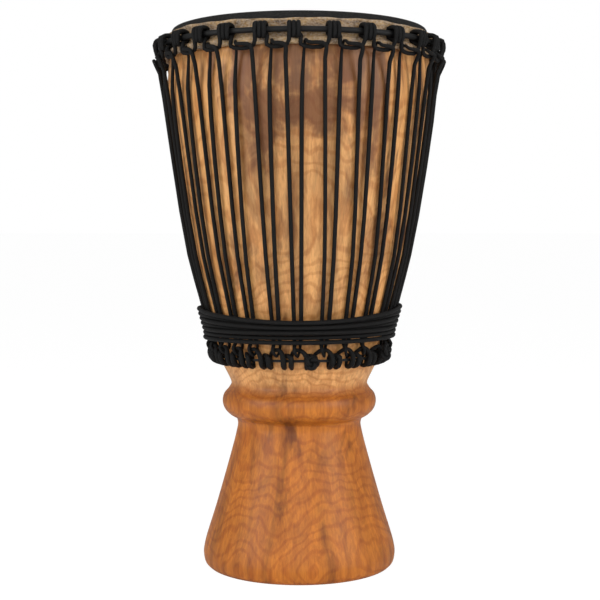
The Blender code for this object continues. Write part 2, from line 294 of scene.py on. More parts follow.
def hide_mid_line():
    """Line through the middle of the hide, from the drum's axis to its trimmed edge."""
    half = 0.5 * HIDE_THICKNESS
    edge_centre = (BEARING_EDGE_RADIUS, SHELL_TOP - BEARING_EDGE_ROUND)
    over_edge = arc_points(edge_centre, BEARING_EDGE_ROUND + CLEARANCE + half, 90.0, 0.0, 3)
    fold_centre = (FLESH_RING_RADIUS, FLESH_RING_HEIGHT)
    fold = arc_points(fold_centre, FOLD_RADIUS, 180.0, 450.0, 8)
    bend_centre = (FLAP_RADIUS + FLAP_BEND_RADIUS, FLESH_RING_HEIGHT + FOLD_RADIUS + FLAP_BEND_RADIUS)
    flap = arc_points(bend_centre, FLAP_BEND_RADIUS, 225.0, 180.0, 2)
    flap += [(FLAP_RADIUS, FLAP_FLARE_HEIGHT), (FLAP_EDGE_RADIUS, FLAP_EDGE_HEIGHT)]
    return [(0.0, TOTAL_HEIGHT - half)] + over_edge + fold + flap


def offset_line(line, distance):
    """A line moved sideways by a distance, to the left of its direction."""
    moved = []
    for index, (radius, height) in enumerate(line):
        before = line[max(index - 1, 0)]
        after = line[min(index + 1, len(line) - 1)]
        incoming = Vector((radius - before[0], height - before[1]))
        outgoing = Vector((after[0] - radius, after[1] - height))
        if incoming.length == 0.0:
            incoming = outgoing
        if outgoing.length == 0.0:
            outgoing = incoming
        tangent = (incoming.normalized() + outgoing.normalized()).normalized()
        spread = 1.0 / max(tangent.dot(outgoing.normalized()), 0.5)
        side = Vector((-tangent.y, tangent.x)) * distance * spread
        moved.append((max(radius + side.x, 0.0), height + side.y))
    return moved


def beside(angle, distance, radius):
    """Angle of a point that lies a distance along the ring from an angle."""
    return angle + math.degrees(distance / radius)


def crown_loop_route():
    """Route of the rope that is hitched round the crown ring and hangs in loops between.

    Each hitch has three wraps. A wrap runs up the front of the ring, over it, down behind it and
    back under it to the next one.
    """
    first_corner = (0.0061, 0.0050, HITCH_ROPE_RADIUS)
    way_out = (0.0015, -0.0063, SIDE_ROPE_RADIUS)
    way_out_place = 0.0068
    corners = [
        (0.0056, -0.0070, SIDE_ROPE_RADIUS),
        (0.0056, 0.0050, HITCH_ROPE_RADIUS),
        (-0.0049, 0.0056, SIDE_ROPE_RADIUS),
        (-0.0049, -0.0034, SIDE_ROPE_RADIUS),
    ]
    wrap_places = [-0.0044, 0.0, 0.0044]
    loop_corner = 2.5
    loop_radius = 0.1568
    loop_height = 0.5634
    route = []
    for loop in range(LOOP_COUNT):
        angle = top_angle(loop)
        route.append((on_drum(angle - loop_corner, loop_radius, loop_height), LOOP_ROPE_RADIUS))
        stops = [(wrap_places[0], first_corner)]
        stops += [(wrap_places[0], corner) for corner in corners[2:]]
        stops += [(place, corner) for place in wrap_places[1:] for corner in corners]
        stops.append((way_out_place, way_out))
        for place, (out, up, rope_radius) in stops:
            spot = beside(angle, place, CROWN_RING_RADIUS)
            point = on_drum(spot, CROWN_RING_RADIUS + out, CROWN_RING_HEIGHT + up)
            route.append((point, rope_radius))
        route.append((on_drum(angle + loop_corner, loop_radius, loop_height), LOOP_ROPE_RADIUS))
    return route


def bottom_loop_route():
    """Route of the rope that is hitched round the bottom ring and rises in loops between."""
    corners = [
        (0.1010, 0.2420, HITCH_ROPE_RADIUS),
        (0.0979, 0.2334, HITCH_ROPE_RADIUS),
        (0.0898, 0.2304, TIGHT_ROPE_RADIUS),
        (0.0933, 0.2438, TIGHT_ROPE_RADIUS),
    ]
    wrap_places = [-0.0040, 0.0040]
    loop_corner = 1.6
    loop_radius = 0.0996
    loop_height = 0.2502
    route = []
    for loop in range(LOOP_COUNT):
        pair = foot_angle(loop)
        route.append((on_drum(pair + loop_corner, loop_radius, loop_height), HOOK_ROPE_RADIUS))
        for place in wrap_places:
            spot = beside(hitch_angle(loop), place, BOTTOM_RING_RADIUS)
            for radius, height, rope_radius in corners:
                route.append((on_drum(spot, radius, height), rope_radius))
        next_pair = foot_angle(loop + 1)
        route.append((on_drum(next_pair - loop_corner, loop_radius, loop_height), HOOK_ROPE_RADIUS))
    return route


def strand_radius(height):
    """Radius of an upright strand's middle, along its straight run over the lower bowl."""
    (low_radius, low_height), (high_radius, high_height) = STRAND_RUN
    share = (height - low_height) / (high_height - low_height)
    return low_radius + share * (high_radius - low_radius)


def strand_point(loop, side, height):
    """Point of an upright strand. side is -1 or 1, for left or right of the pair's middle."""
    top_height, bottom_height = 0.550, 0.256
    share = (height - bottom_height) / (top_height - bottom_height)
    middle = foot_angle(loop) + share * (top_angle(loop) - foot_angle(loop))
    spread = STRAND_SPREAD_BOTTOM + share * (STRAND_SPREAD_TOP - STRAND_SPREAD_BOTTOM)
    return (on_drum(middle + side * spread, strand_radius(height), height), ROPE_RADIUS)


def crown_hook(loop):
    """The lacing rises behind one crown loop, turns over its run and drops in front of it."""
    left = top_angle(loop)
    right = top_angle(loop + 1)
    return [
        (on_drum(left + 3.1, 0.1512, 0.5260), ROPE_RADIUS),
        (on_drum(left + 3.9, 0.1519, 0.5622), HOOK_ROPE_RADIUS),
        (on_drum(left + 4.3, 0.1556, 0.5681), HOOK_ROPE_RADIUS),
        (on_drum(left + 5.2, 0.1606, 0.5649), LOOP_ROPE_RADIUS),
        (on_drum(right - 3.3, 0.1612, 0.5626), ROPE_RADIUS),
        (on_drum(right - 3.1, 0.1554, 0.5495), ROPE_RADIUS),
    ]


def foot_hook(loop):
    """The lacing drops in front of one bottom loop, turns under its run and rises behind it."""
    pair = foot_angle(loop)
    return [
        (on_drum(pair - 1.9, 0.1003, 0.2560), ROPE_RADIUS),
        (on_drum(pair - 1.9, 0.1038, 0.2502), LOOP_ROPE_RADIUS),
        (on_drum(pair - 0.1, 0.1000, 0.2438), HOOK_ROPE_RADIUS),
        (on_drum(pair + 1.3, 0.0953, 0.2506), TIGHT_ROPE_RADIUS),
    ]


def lacing_route():
    """Route of the one rope that zigzags between the crown loops and the bottom loops."""
    low, high = STRAND_RUN[0][1], STRAND_RUN[1][1]
    route = []
    for step in range(LOOP_COUNT):
        loop = TAIL_KNOT_LOOP + step
        route += [strand_point(loop, 1, low), strand_point(loop, 1, high)]
        route += crown_hook(loop)
        route += [strand_point(loop + 1, -1, high), strand_point(loop + 1, -1, low)]
        if step < LOOP_COUNT - 1:
            route += foot_hook(loop + 1)
    return route


def blend_list(values, place):
    """Value between the entries of a list, held at its ends."""
    place = min(max(place, 0.0), len(values) - 1.0)
    low = min(int(place), len(values) - 2)
    return values[low] + (place - low) * (values[low + 1] - values[low])


def winding_point(turns):
    """Point of the tail winding after a number of turns, which starts at the back.

    The turns lie side by side at the back and sides. At the front they are squeezed together,
    and two of them lie under their neighbours, which then stand further out.
    """
    angle = 360.0 * turns - 180.0
    around = math.radians(angle)
    squeeze = max(math.cos(around), 0.0) ** 2
    place = turns - 0.5
    side_height = WINDING_LOW + WINDING_PITCH * place
    front_height = blend_list(FRONT_TURN_HEIGHTS, place)
    height = side_height + squeeze * (front_height - side_height)
    nearest = FRONT_TURN_HEIGHTS[3] - FRONT_TURN_HEIGHTS[2]
    spacing = WINDING_PITCH + squeeze * (nearest - WINDING_PITCH)
    room = 2.0 * ROPE_RADIUS + LEAST_WINDING_GAP + EXTRA_WINDING_ROOM
    lift = math.sqrt(max(room ** 2 - spacing ** 2, 0.0))
    slope = strand_radius(height + spacing) - strand_radius(height)
    lift += slope * min(lift / SMALL_LIFT, 1.0)
    lift *= FRONT_TURN_LIFT[round(place) % WINDING_TURNS]
    radius = max(strand_radius(height) + WINDING_STAND_OFF, LEAST_WINDING_RADIUS)
    return on_drum(angle, radius + lift, height)


def winding_route():
    """Route of the tail winding, from its lowest turn to its highest."""
    count = WINDING_TURNS * WINDING_POINTS_PER_TURN
    places = [winding_point(index / WINDING_POINTS_PER_TURN) for index in range(count + 1)]
    return [(place, ROPE_RADIUS) for place in places]


def knot_route(angle, radius, height, scale):
    """A trefoil round a short axis that points out of the drum."""
    outward = on_drum(angle, 1.0, 0.0)
    across = Vector((-outward.y, outward.x, 0.0))
    upward = Vector((0.0, 0.0, 1.0))
    centre = on_drum(angle, radius, height)
    route = []
    for index in range(KNOT_POINTS):
        turn = 2.0 * math.pi * index / KNOT_POINTS
        reach = scale * (KNOT_RING_RADIUS + KNOT_TUBE_RADIUS * math.cos(3.0 * turn))
        depth = scale * KNOT_TUBE_RADIUS * math.sin(3.0 * turn)
        flat = across * reach * math.cos(2.0 * turn) + upward * reach * math.sin(2.0 * turn)
        route.append((centre + flat + outward * depth, scale * KNOT_ROPE_RADIUS))
    return route


def smooth_route(values, closed, parts):
    """Points of a smooth line through a route, as tuples. It doesn't swing out between its points."""
    count = len(values)
    spans = count if closed else count - 1
    points = [Vector(value) for value in values]
    lengths = [max((points[(index + 1) % count] - points[index]).length, 1e-9) for index in range(spans)]
    slopes = []
    for index in range(count):
        if closed or 0 < index < count - 1:
            before, after = lengths[(index - 1) % count], lengths[index % spans]
            incoming = (points[index] - points[index - 1]) / before
            outgoing = (points[(index + 1) % count] - points[index]) / after
            slopes.append((incoming * after + outgoing * before) / (before + after))
        elif index == 0:
            slopes.append((points[1] - points[0]) / lengths[0])
        else:
            slopes.append((points[index] - points[index - 1]) / lengths[index - 1])
    reaches = []
    for index in range(count):
        before = lengths[index - 1] if closed or index > 0 else lengths[0]
        after = lengths[index] if index < spans else lengths[-1]
        reaches.append(LONGEST_REACH * min(before, after))
    result = []
    for index in range(spans):
        other = (index + 1) % count
        start, end = points[index], points[other]
        leaving = slopes[index] * min(lengths[index], reaches[index])
        arriving = slopes[other] * min(lengths[index], reaches[other])
        for part in range(parts):
            share = part / parts
            point = start * (2.0 * share ** 3 - 3.0 * share ** 2 + 1.0)
            point += leaving * (share ** 3 - 2.0 * share ** 2 + share)
            point += end * (3.0 * share ** 2 - 2.0 * share ** 3)
            point += arriving * (share ** 3 - share ** 2)
            result.append(tuple(point))
    if not closed:
        result.append(tuple(points[-1]))
    return result


def deselect_all():
    """Leave nothing selected, so that an operator acts only on the new piece."""
    if bpy.context.object is not None and bpy.context.object.mode != "OBJECT":
        bpy.ops.object.mode_set(mode="OBJECT")
    bpy.ops.object.select_all(action="DESELECT")


def place_piece(name, mesh, materials, nodes):
    """Put a mesh in the scene as a piece that rides on the drum and stands for CAD nodes."""
    piece = bpy.data.objects.new(name, mesh)
    bpy.context.scene.collection.objects.link(piece)
    for material in materials:
        mesh.materials.append(material)
    mesh.shade_smooth()
    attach(piece, "root")
    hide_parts(*nodes)


def cross_directions(places, closed):
    """Two directions across a tube at each of its places, carried along it without a twist."""
    count = len(places)
    tangents = []
    for index in range(count):
        before = places[(index - 1) % count] if closed or index > 0 else places[0]
        after = places[(index + 1) % count] if closed or index < count - 1 else places[-1]
        tangents.append((after - before).normalized())
    side = tangents[0].orthogonal().normalized()
    directions = []
    for tangent in tangents:
        side = (side - tangent * side.dot(tangent)).normalized()
        directions.append((side.copy(), tangent.cross(side)))
    return directions


def rope_mesh(name, route, closed, fullness):
    """A tube along a smooth route, with a map of its length in metres and its girth from 0 to 1."""
    values = [(*place, radius * fullness) for place, radius in route]
    smooth = smooth_route(values, closed, ROPE_PARTS)
    places = [Vector(value[:3]) for value in smooth]
    count = len(places)
    sides = ROPE_SIDES
    vertices = []
    for place, value, (across, up) in zip(places, smooth, cross_directions(places, closed)):
        for corner in range(sides):
            turn = 2.0 * math.pi * corner / sides
            reach = across * math.cos(turn) + up * math.sin(turn)
            vertices.append(place + reach * value[3])
    faces = []
    maps = []
    length = 0.0
    spans = count if closed else count - 1
    for index in range(spans):
        after = (index + 1) % count
        step = (places[after] - places[index]).length
        for corner in range(sides):
            near, far = corner / sides, (corner + 1) / sides
            beside_corner = (corner + 1) % sides
            faces.append((
                index * sides + corner,
                index * sides + beside_corner,
                after * sides + beside_corner,
                after * sides + corner,
            ))
            maps += [(length, near), (length, far), (length + step, far), (length + step, near)]
        length += step
    if not closed:
        faces.append(tuple(reversed(range(sides))))
        faces.append(tuple((count - 1) * sides + corner for corner in range(sides)))
        maps += [(0.0, 0.5)] * sides + [(length, 0.5)] * sides
    mesh = bpy.data.meshes.new(name)
    mesh.from_pydata(vertices, [], faces)
    layer = mesh.uv_layers.new(name="rope_run")
    for loop, place in zip(layer.data, maps):
        loop.uv = place
    mesh.update()
    return mesh


def turned_mesh(name, profile, steps, closed, slots=None):
    """A profile turned about Z. Slots give each stretch of the profile its material."""
    count = len(profile)
    on_axis = [radius < 1e-6 for radius, _ in profile]
    vertices = []
    starts = []
    for (radius, height), axis in zip(profile, on_axis):
        starts.append(len(vertices))
        if axis:
            vertices.append((0.0, 0.0, height))
            continue
        for step in range(steps):
            turn = 2.0 * math.pi * step / steps
            vertices.append((radius * math.cos(turn), radius * math.sin(turn), height))
    faces = []
    indices = []
    spans = count if closed else count - 1
    for index in range(spans):
        after = (index + 1) % count
        for step in range(steps):
            other = (step + 1) % steps
            if on_axis[index]:
                face = (starts[index], starts[after] + step, starts[after] + other)
            elif on_axis[after]:
                face = (starts[index] + step, starts[after], starts[index] + other)
            else:
                face = (
                    starts[index] + step,
                    starts[after] + step,
                    starts[after] + other,
                    starts[index] + other,
                )
            faces.append(face)
            indices.append(slots[index] if slots else 0)
    mesh = bpy.data.meshes.new(name)
    mesh.from_pydata(vertices, [], faces)
    mesh.polygons.foreach_set("material_index", indices)
    mesh.update()
    return mesh


def add_node(tree, kind, **settings):
    """Add a shader node and set its properties."""
    node = tree.nodes.new(kind)
    for key, value in settings.items():
        setattr(node, key, value)
    return node


def set_inputs(node, **values):
    """Set a node's sockets by their names, with underscores for spaces."""
    for key, value in values.items():
        node.inputs[key.replace("_", " ")].default_value = value
    return node


def add_ramp(tree, stops):
    """Add a colour ramp with its stops as pairs of place and colour."""
    ramp = add_node(tree, "ShaderNodeValToRGB")
    elements = ramp.color_ramp.elements
    elements.remove(elements[-1])
    elements[0].position = stops[0][0]
    elements[0].color = (*stops[0][1], 1.0)
    for place, color in stops[1:]:
        elements.new(place).color = (*color, 1.0)
    return ramp


def mix_colors(tree, mode, factor, first, second):
    """Add a colour mix. Each of its inputs is a socket or a value."""
    mix = add_node(tree, "ShaderNodeMix", data_type="RGBA", blend_type=mode)
    for socket, value in ((mix.inputs[0], factor), (mix.inputs[6], first), (mix.inputs[7], second)):
        if isinstance(value, bpy.types.NodeSocket):
            tree.links.new(value, socket)
        elif isinstance(value, tuple):
            socket.default_value = (*value, 1.0)
        else:
            socket.default_value = value
    return mix.outputs[2]


def value_math(tree, operation, first, second=0.0, third=0.0):
    """Add a number operation. Each of its inputs is a socket or a value."""
    node = add_node(tree, "ShaderNodeMath", operation=operation)
    for socket, value in zip(node.inputs, (first, second, third)):
        if isinstance(value, bpy.types.NodeSocket):
            tree.links.new(value, socket)
        else:
            socket.default_value = value
    return node.outputs[0]


def map_range(tree, value, low, high, start=0.0, end=1.0):
    """Add a smooth step of a value from one range to another."""
    node = add_node(tree, "ShaderNodeMapRange", interpolation_type="SMOOTHSTEP")
    tree.links.new(value, node.inputs["Value"])
    set_inputs(node, From_Min=low, From_Max=high, To_Min=start, To_Max=end)
    return node.outputs["Result"]


def add_axes(tree, vector):
    """Add a node that splits a vector into its three parts."""
    axes = add_node(tree, "ShaderNodeSeparateXYZ")
    tree.links.new(vector, axes.inputs["Vector"])
    return axes.outputs


def join_by_ray(tree, seen, plain, bright, output):
    """Send two shaders to a tree's output, where the bright one shows by the share seen."""
    mix = add_node(tree, "ShaderNodeMixShader")
    tree.links.new(seen, mix.inputs[0])
    tree.links.new(plain.outputs[0], mix.inputs[1])
    tree.links.new(bright.outputs[0], mix.inputs[2])
    tree.links.new(mix.outputs[0], tree.nodes[output].inputs["Surface"])


def new_material(name):
    """A new material with its tree, shader and Object coordinates."""
    material = bpy.data.materials.new(name)
    material.use_nodes = True
    tree = material.node_tree
    shader = tree.nodes["Principled BSDF"]
    place = add_node(tree, "ShaderNodeTexCoord").outputs["Object"]
    return material, tree, shader, place


def stretched_noise(tree, place, scale, turn, detail, roughness, distortion=0.0):
    """Noise drawn out along the grain by a Mapping node."""
    mapping = add_node(tree, "ShaderNodeMapping")
    mapping.inputs["Scale"].default_value = scale
    mapping.inputs["Rotation"].default_value = turn
    tree.links.new(place, mapping.inputs["Vector"])
    noise = add_node(tree, "ShaderNodeTexNoise")
    set_inputs(noise, Scale=1.0, Detail=detail, Roughness=roughness, Distortion=distortion)
    tree.links.new(mapping.outputs["Vector"], noise.inputs["Vector"])
    return noise.outputs["Fac"]


def add_bump(tree, shader, height, strength, distance):
    """Feed a height to the shader's normal."""
    bump = add_node(tree, "ShaderNodeBump")
    set_inputs(bump, Strength=strength, Distance=distance)
    tree.links.new(height, bump.inputs["Height"])
    tree.links.new(bump.outputs["Normal"], shader.inputs["Normal"])


def growth_rings(tree, place):
    """Dark lines where the turned surface cuts the log's growth rings."""
    flat = add_node(tree, "ShaderNodeVectorMath", operation="MULTIPLY")
    flat.inputs[1].default_value = (1.0, 1.0, 0.0)
    tree.links.new(place, flat.inputs[0])
    span = add_node(tree, "ShaderNodeVectorMath", operation="LENGTH")
    tree.links.new(flat.outputs["Vector"], span.inputs[0])
    sway = stretched_noise(tree, place, (9.0, 9.0, 6.0), UPRIGHT, detail=3.0, roughness=0.5)
    ripple = stretched_noise(tree, place, (55.0, 55.0, 30.0), UPRIGHT, detail=3.0, roughness=0.5)
    reach = value_math(tree, "MULTIPLY_ADD", sway, GROWTH_RING_SWAY, span.outputs["Value"])
    reach = value_math(tree, "MULTIPLY_ADD", ripple, GROWTH_RING_RIPPLE, reach)
    turns = value_math(tree, "MULTIPLY", reach, 2.0 * math.pi / GROWTH_RING_SPACING)
    wave = value_math(tree, "SINE", turns)
    return value_math(tree, "MULTIPLY", map_range(tree, wave, 0.1, 1.0), GROWTH_RING_SHARE)


def wood_material(settings):
    """Oiled red-brown hardwood with a leaning grain, dark stains above, a deeper foot and painted shade
    in the crease above the waist bead.
    """
    material, tree, shader, place = new_material("oiled_hardwood")
    lean = (0.0, math.radians(GRAIN_LEAN), 0.0)
    stain_lean = (0.3, 0.35, 0.1)
    drip_lean = (0.0, 0.25, 0.0)
    broad = stretched_noise(tree, place, (30.0, 30.0, 4.0), lean, 4.0, 0.55, distortion=1.2)
    bands = stretched_noise(tree, place, (95.0, 95.0, 7.0), lean, 4.0, 0.6, distortion=0.8)
    fine = stretched_noise(tree, place, (420.0, 420.0, 22.0), lean, 5.0, 0.65, distortion=0.3)
    stain = stretched_noise(tree, place, (11.0, 11.0, 5.5), stain_lean, 5.0, 0.62, distortion=1.0)
    drip = stretched_noise(tree, place, (48.0, 48.0, 6.0), drip_lean, 4.0, 0.6, distortion=0.6)
    base = add_ramp(tree, [
        (0.34, tuple(0.66 * part for part in settings.wood_color)),
        (0.46, tuple(settings.wood_color)),
        (0.56, tuple(min(1.0, 1.10 * part) for part in settings.wood_color)),
        (0.68, tuple(min(1.0, 1.20 * part) for part in settings.wood_color)),
    ])
    tree.links.new(broad, base.inputs["Fac"])
    banding = map_range(tree, bands, 0.38, 0.60)
    streak = mix_colors(tree, "MIX", banding, *BAND_TINTS)
    color = mix_colors(tree, "MULTIPLY", BAND_SHARE, base.outputs["Color"], streak)
    lining = map_range(tree, fine, 0.36, 0.60)
    lines = mix_colors(tree, "MIX", lining, *LINE_TINTS)
    color = mix_colors(tree, "MULTIPLY", LINE_SHARE, color, lines)
    growth = growth_rings(tree, place)
    color = mix_colors(tree, "MULTIPLY", growth, color, GROWTH_RING_TINT)
    height = add_axes(tree, place)["Z"]
    high = map_range(tree, height, *STAIN_HEIGHTS)
    drips = value_math(tree, "MULTIPLY", drip, DRIP_SHARE)
    reach = value_math(tree, "MULTIPLY_ADD", high, STAIN_CLIMB, drips)
    blotch = map_range(tree, value_math(tree, "ADD", stain, reach), *STAIN_EDGE)
    stained = value_math(tree, "MULTIPLY", blotch, STAIN_SHARE)
    color = mix_colors(tree, "MIX", stained, color, STAIN_COLOR)
    deep = mix_colors(tree, "MULTIPLY", 1.0, color, tuple(settings.foot_tint))
    color = mix_colors(tree, "MIX", map_range(tree, height, *FOOT_HEIGHTS), color, deep)
    # Painted shade: a dark band in the crease above the waist bead, mixed into the wood's colour
    shade_bottom = map_range(tree, height, *WAIST_SHADE_BOTTOM_HEIGHTS)
    shade_top = map_range(tree, height, *WAIST_SHADE_TOP_HEIGHTS)
    waist_shade = value_math(tree, "MULTIPLY", shade_bottom, shade_top)
    painted_shade = value_math(tree, "MULTIPLY", waist_shade, WAIST_SHADE_SHARE)
    color = mix_colors(tree, "MIX", painted_shade, color, WAIST_SHADE_COLOR)
    tree.links.new(color, shader.inputs["Base Color"])
    rough = value_math(tree, "MULTIPLY_ADD", fine, 0.24, settings.wood_roughness - 0.12)
    tree.links.new(rough, shader.inputs["Roughness"])
    relief = value_math(tree, "MULTIPLY_ADD", bands, 0.6, fine)
    add_bump(tree, shader, relief, 0.35, 0.0006)
    shader.inputs["Specular IOR Level"].default_value = 0.4
    return material


def cord_material(settings):
    """Matt black braid: two sets of plaits that cross, with painted shade in the grooves between them and
    pale worn specks.
    """
    material, tree, shader, place = new_material("cord_braid")
    run = add_axes(tree, add_node(tree, "ShaderNodeUVMap", uv_map="rope_run").outputs["UV"])
    along = value_math(tree, "MULTIPLY", run["X"], 2.0 * math.pi / PLAIT_LENGTH)
    around = value_math(tree, "MULTIPLY", run["Y"], 2.0 * math.pi * PLAITS_ROUND)
    right = value_math(tree, "SINE", value_math(tree, "ADD", along, around))
    left = value_math(tree, "SINE", value_math(tree, "SUBTRACT", along, around))
    plait = value_math(tree, "ABSOLUTE", value_math(tree, "MULTIPLY", right, left))
    specks = add_node(tree, "ShaderNodeTexNoise")
    set_inputs(specks, Scale=900.0, Detail=3.0, Roughness=0.7)
    tree.links.new(place, specks.inputs["Vector"])
    worn = map_range(tree, specks.outputs["Fac"], 0.60, 0.78)
    ridge = map_range(tree, plait, 0.0, 0.7)
    # Painted shade in the grooves, from the raised plaits' tone down to a darker one
    color = mix_colors(tree, "MIX", ridge, PLAIT_GROOVE_SHADE, tuple(settings.cord_color))
    specked = value_math(tree, "MULTIPLY", worn, WORN_SPECK_SHARE)
    color = mix_colors(tree, "MIX", specked, color, WORN_SPECK_COLOR)
    tree.links.new(color, shader.inputs["Base Color"])
    tree.links.new(map_range(tree, plait, 0.0, 1.0, 0.75, 0.48), shader.inputs["Roughness"])
    height = value_math(tree, "MULTIPLY_ADD", specks.outputs["Fac"], 0.2, plait)
    add_bump(tree, shader, height, 0.7, 0.0005)
    shader.inputs["Specular IOR Level"].default_value = 0.22
    return material


def hair_material():
    """Black hide with short hair at its collar and a shaved, slightly worn playing surface."""
    material, tree, shader, place = new_material("hide_hair")
    hair = stretched_noise(tree, place, (500.0, 500.0, 2600.0), UPRIGHT, detail=3.0, roughness=0.6)
    patch = stretched_noise(tree, place, (22.0, 22.0, 22.0), UPRIGHT, 5.0, 0.65, distortion=0.4)
    base = mix_colors(tree, "MIX", map_range(tree, hair, 0.35, 0.7), *HAIR_COLORS)
    worn = mix_colors(tree, "MIX", map_range(tree, patch, 0.45, 0.75), base, SHAVED_COLOR)
    top = map_range(tree, add_axes(tree, place)["Z"], *SHAVED_HEIGHTS)
    tree.links.new(mix_colors(tree, "MIX", top, base, worn), shader.inputs["Base Color"])
    tree.links.new(map_range(tree, patch, 0.3, 0.7, 0.62, 0.8), shader.inputs["Roughness"])
    add_bump(tree, shader, value_math(tree, "ADD", hair, patch), 0.5, 0.0008)
    shader.inputs["Specular IOR Level"].default_value = 0.2
    return material


def flesh_material(settings):
    """Tan flesh side of the hide, mottled with dark brown."""
    material, tree, shader, place = new_material("hide_flesh")
    patch = stretched_noise(tree, place, (60.0, 60.0, 130.0), UPRIGHT, 6.0, 0.7, distortion=0.8)
    fibre = stretched_noise(tree, place, (420.0, 420.0, 700.0), UPRIGHT, detail=4.0, roughness=0.6)
    ramp = add_ramp(tree, [
        (0.36, FLESH_DARK_COLOR),
        (0.47, FLESH_BROWN_COLOR),
        (0.64, tuple(settings.flesh_color)),
    ])
    tree.links.new(patch, ramp.inputs["Fac"])
    fibres = map_range(tree, fibre, 0.35, 0.65)
    color = mix_colors(tree, "MULTIPLY", fibres, FIBRE_TINT, ramp.outputs["Color"])
    color = mix_colors(tree, "MIX", FIBRE_FADE, color, ramp.outputs["Color"])
    tree.links.new(color, shader.inputs["Base Color"])
    tree.links.new(map_range(tree, fibre, 0.3, 0.7, 0.55, 0.8), shader.inputs["Roughness"])
    add_bump(tree, shader, value_math(tree, "ADD", fibre, patch), 0.5, 0.0008)
    return material


def steel_material(name, color, metallic, roughness):
    """Drawn wire, bare or blackened, with handling marks."""
    material, tree, shader, place = new_material(name)
    marks = stretched_noise(tree, place, (180.0, 180.0, 700.0), UPRIGHT, detail=4.0, roughness=0.6)
    dark = tuple(0.5 * part for part in color)
    tree.links.new(mix_colors(tree, "MIX", marks, dark, color), shader.inputs["Base Color"])
    rough = map_range(tree, marks, 0.3, 0.7, roughness, roughness + 0.15)
    tree.links.new(rough, shader.inputs["Roughness"])
    shader.inputs["Metallic"].default_value = metallic
    add_bump(tree, shader, marks, 0.15, 0.0002)
    shader.inputs["Specular IOR Level"].default_value = 0.3
    return material


class BougarabouSettings(bpy.types.PropertyGroup):
    """Sizes and colours of the drum's finish."""

    wood_color: bpy.props.FloatVectorProperty(
        name="Wood", description="Middle tone of the carved wood", default=(0.74, 0.39, 0.145),
        subtype="COLOR", min=0.0, max=1.0)
    foot_tint: bpy.props.FloatVectorProperty(
        name="Foot tint", description="How much deeper the foot's wood is", default=(0.68, 0.42, 0.115),
        subtype="COLOR", min=0.0, max=1.0)
    wood_roughness: bpy.props.FloatProperty(
        name="Wood roughness", description="Roughness of the oiled wood", default=0.46, min=0.0, max=1.0)
    cord_color: bpy.props.FloatVectorProperty(
        name="Cord", description="Tone of the braid's raised plaits", default=(0.0045, 0.0042, 0.0042),
        subtype="COLOR", min=0.0, max=1.0)
    flesh_color: bpy.props.FloatVectorProperty(
        name="Flesh side", description="Palest tone of the hide's flesh side", default=(0.60, 0.38, 0.15),
        subtype="COLOR", min=0.0, max=1.0)
    turning_steps: bpy.props.IntProperty(
        name="Turning steps", description="Steps round the turned pieces", default=160, min=24)
    edge_wave: bpy.props.FloatProperty(
        name="Trim wave", description="How far the trimmed edge of the hide waves", default=0.0012,
        unit="LENGTH")


def shared_material(name):
    """A material made by the finish operator."""
    material = bpy.data.materials.get(name)
    if material is None:
        raise RuntimeError("material " + name + " is missing")
    return material


class BOUGARABOU_OT_finishes(bpy.types.Operator):
    """Make the drum's materials"""

    bl_idname = "bougarabou.finishes"
    bl_label = "Make finishes"

    def execute(self, context):
        settings = context.scene.bougarabou
        wood_material(settings)
        cord_material(settings)
        hair_material()
        flesh_material(settings)
        steel_material("crown_steel", (0.005, 0.005, 0.005), metallic=0.0, roughness=0.5)
        steel_material("bare_wire", (0.42, 0.41, 0.40), metallic=1.0, roughness=0.35)
        steel_material("bottom_steel", (0.03, 0.03, 0.03), metallic=0.4, roughness=0.45)
        return {"FINISHED"}


class BOUGARABOU_OT_shell(bpy.types.Operator):
    """Turn and carve the wooden shell"""

    bl_idname = "bougarabou.shell"
    bl_label = "Make shell"

    def execute(self, context):
        steps = context.scene.bougarabou.turning_steps
        section = shell_profile()
        outside = smooth_route(section[:-len(SHELL_BORE)], False, SHELL_PARTS)
        profile = outside + smooth_route(SHELL_BORE, False, SHELL_PARTS)
        mesh = turned_mesh("carved_shell", profile, steps, True)
        place_piece("carved_shell", mesh, [shared_material("oiled_hardwood")], ["shell"])
        return {"FINISHED"}


def trim_wave(angle):
    """Uneven height of the hide's trimmed edge at an angle, from about -1 to 1."""
    total = 0.0
    for swing, waves, phase in TRIM_WAVES:
        total += swing * math.sin(waves * angle + phase)
    return total


def wave_trimmed_edge(mesh, reach):
    """Move the hide's upper flap up and down, most at its edge."""
    rise = FLAP_EDGE_HEIGHT - TRIM_WAVE_START
    for vertex in mesh.vertices:
        place = vertex.co
        radius = math.hypot(place.x, place.y)
        off_flap = radius < FLAP_RADIUS - HIDE_THICKNESS or place.z < TRIM_WAVE_START
        if off_flap or place.z > FLAP_EDGE_HEIGHT + TRIM_WAVE_ROOM:
            continue
        share = min((place.z - TRIM_WAVE_START) / rise, 1.0)
        place.z += reach * trim_wave(math.atan2(place.y, place.x)) * share ** 2


class BOUGARABOU_OT_skin(bpy.types.Operator):
    """Fold the hide over the bearing edge and round its flesh ring"""

    bl_idname = "bougarabou.skin"
    bl_label = "Make skin"

    def execute(self, context):
        settings = context.scene.bougarabou
        half = 0.5 * HIDE_THICKNESS
        mid_line = smooth_route(hide_mid_line(), False, HIDE_PARTS)
        outer = offset_line(mid_line, half)
        inner = offset_line(mid_line, -half)
        outer[0] = (0.0, TOTAL_HEIGHT)
        inner[0] = (0.0, TOTAL_HEIGHT - HIDE_THICKNESS)
        slots = [0] * (len(outer) - 1) + [1] * len(inner)
        mesh = turned_mesh("hide", outer + inner[::-1], settings.turning_steps * 2, False, slots)
        wave_trimmed_edge(mesh, settings.edge_wave)
        materials = [shared_material("hide_hair"), shared_material("hide_flesh")]
        place_piece("hide", mesh, materials, ["drum_skin"])
        return {"FINISHED"}


